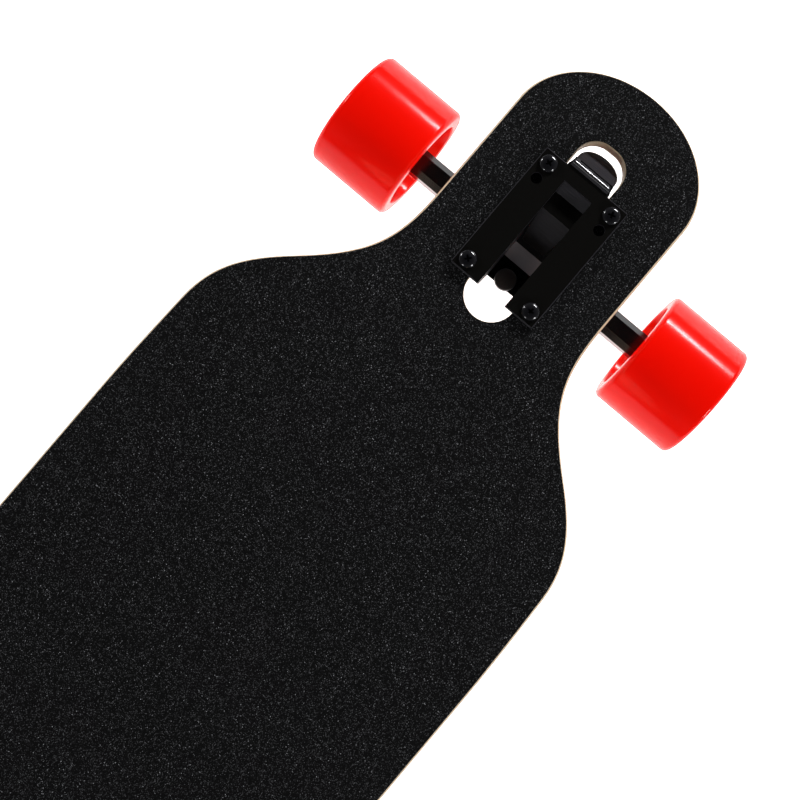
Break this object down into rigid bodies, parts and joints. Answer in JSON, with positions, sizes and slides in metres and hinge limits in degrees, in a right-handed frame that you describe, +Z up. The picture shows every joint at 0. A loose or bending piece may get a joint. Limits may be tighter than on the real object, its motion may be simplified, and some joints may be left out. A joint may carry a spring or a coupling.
{
  "type": "electric skateboard",
  "caption": "Drop-through electric longboard with black grip deck, reverse-kingpin trucks, red urethane wheels, rear hub motors and an under-deck battery case.",
  "frame": {"origin": "on the ground, under the middle of the deck", "axes": "+X towards the nose, +Y to the rider's left when facing the nose, +Z up"},
  "size_m": [0.9664, 0.2564, 0.1079],
  "materials": {
    "maple": "satin",
    "grip": "matte",
    "black_cast": "satin",
    "black_steel": "gloss",
    "steel": "satin",
    "red_urethane": "gloss",
    "black_urethane": "satin",
    "black_plastic": "matte",
    "black_rubber": "matte",
    "aluminium": "satin",
    "battery_wrap": "gloss",
    "copper": "satin"
  },
  "bodies": {
    "board": {"deck": "maple", "grip_tape": "grip", "front_baseplate": "black_cast", "front_nut_plate": "steel", "front_pivot_bolt": "black_steel", "front_kingpin": "steel", "front_kingpin_nut": "steel", "front_upper_bushing": "black_urethane", "front_lower_bushing": "black_urethane", "front_upper_washer": "black_steel", "front_lower_washer": "black_steel", "front_pivot_cup": "black_urethane", "front_truck_screw_1": "black_steel", "front_truck_screw_2": "black_steel", "front_truck_screw_3": "black_steel", "front_truck_screw_4": "black_steel", "rear_baseplate": "black_cast", "rear_nut_plate": "steel", "rear_pivot_bolt": "black_steel", "rear_kingpin": "steel", "rear_kingpin_nut": "steel", "rear_upper_bushing": "black_urethane", "rear_lower_bushing": "black_urethane", "rear_upper_washer": "black_steel", "rear_lower_washer": "black_steel", "rear_pivot_cup": "black_urethane", "rear_truck_screw_1": "black_steel", "rear_truck_screw_2": "black_steel", "rear_truck_screw_3": "black_steel", "rear_truck_screw_4": "black_steel", "case_shell": "black_plastic", "case_gasket": "black_rubber", "battery_pack": "battery_wrap", "speed_controller": "aluminium", "motor_lead": "black_rubber", "charge_socket": "black_plastic"},
    "front_truck": {"front_hanger": "black_cast", "front_axle": "steel", "front_left_axle_nut": "steel", "front_right_axle_nut": "steel"},
    "rear_truck": {"rear_hanger": "black_cast", "rear_axle": "steel", "rear_left_axle_nut": "steel", "rear_right_axle_nut": "steel", "rear_left_stator": "copper", "rear_right_stator": "copper"},
    "power_button": {"power_button": "steel"},
    "charge_cap": {"charge_cap": "black_rubber"},
    "front_left_wheel": {"front_left_tyre": "red_urethane", "front_left_core": "black_plastic", "front_left_inner_bearing": "steel", "front_left_outer_bearing": "steel"},
    "rear_left_wheel": {"rear_left_tyre": "red_urethane", "rear_left_motor_can": "black_cast"},
    "front_right_wheel": {"front_right_tyre": "red_urethane", "front_right_core": "black_plastic", "front_right_inner_bearing": "steel", "front_right_outer_bearing": "steel"},
    "rear_right_wheel": {"rear_right_tyre": "red_urethane", "rear_right_motor_can": "black_cast"}
  },
  "joints": [
    {"name": "front_steer", "type": "hinge", "parent": "board", "child": "front_truck", "pos_m": [0.38719, 0, 0.03946], "axis": [0.7431, 0, 0.6691], "range_deg": [-14, 14], "stiffness_Nm_per_rad": 40, "deforming": ["front_upper_bushing", "front_lower_bushing"]},
    {"name": "rear_steer", "type": "hinge", "parent": "board", "child": "rear_truck", "pos_m": [-0.38719, 0, 0.03946], "axis": [-0.7431, 0, 0.6691], "range_deg": [-14, 14], "stiffness_Nm_per_rad": 40, "deforming": ["rear_upper_bushing", "rear_lower_bushing", "motor_lead"]},
    {"name": "front_left_wheel_spin", "type": "hinge", "parent": "front_truck", "child": "front_left_wheel", "pos_m": [0.3912, 0.10265, 0.035], "axis": [0, 1, 0], "continuous": true},
    {"name": "front_right_wheel_spin", "type": "hinge", "parent": "front_truck", "child": "front_right_wheel", "pos_m": [0.3912, -0.10265, 0.035], "axis": [0, 1, 0], "continuous": true},
    {"name": "rear_left_wheel_spin", "type": "hinge", "parent": "rear_truck", "child": "rear_left_wheel", "pos_m": [-0.3912, 0.10265, 0.035], "axis": [0, 1, 0], "continuous": true},
    {"name": "rear_right_wheel_spin", "type": "hinge", "parent": "rear_truck", "child": "rear_right_wheel", "pos_m": [-0.3912, -0.10265, 0.035], "axis": [0, 1, 0], "continuous": true},
    {"name": "power_button_press", "type": "slide", "parent": "board", "child": "power_button", "axis": [0, -1, 0], "range_m": [0, 0.0015], "stiffness_N_per_m": 400},
    {"name": "charge_cap_hinge", "type": "hinge", "parent": "board", "child": "charge_cap", "pos_m": [0.15, 0.0803, 0.062], "axis": [-1, 0, 0], "range_deg": [0, 110]}
  ]
}
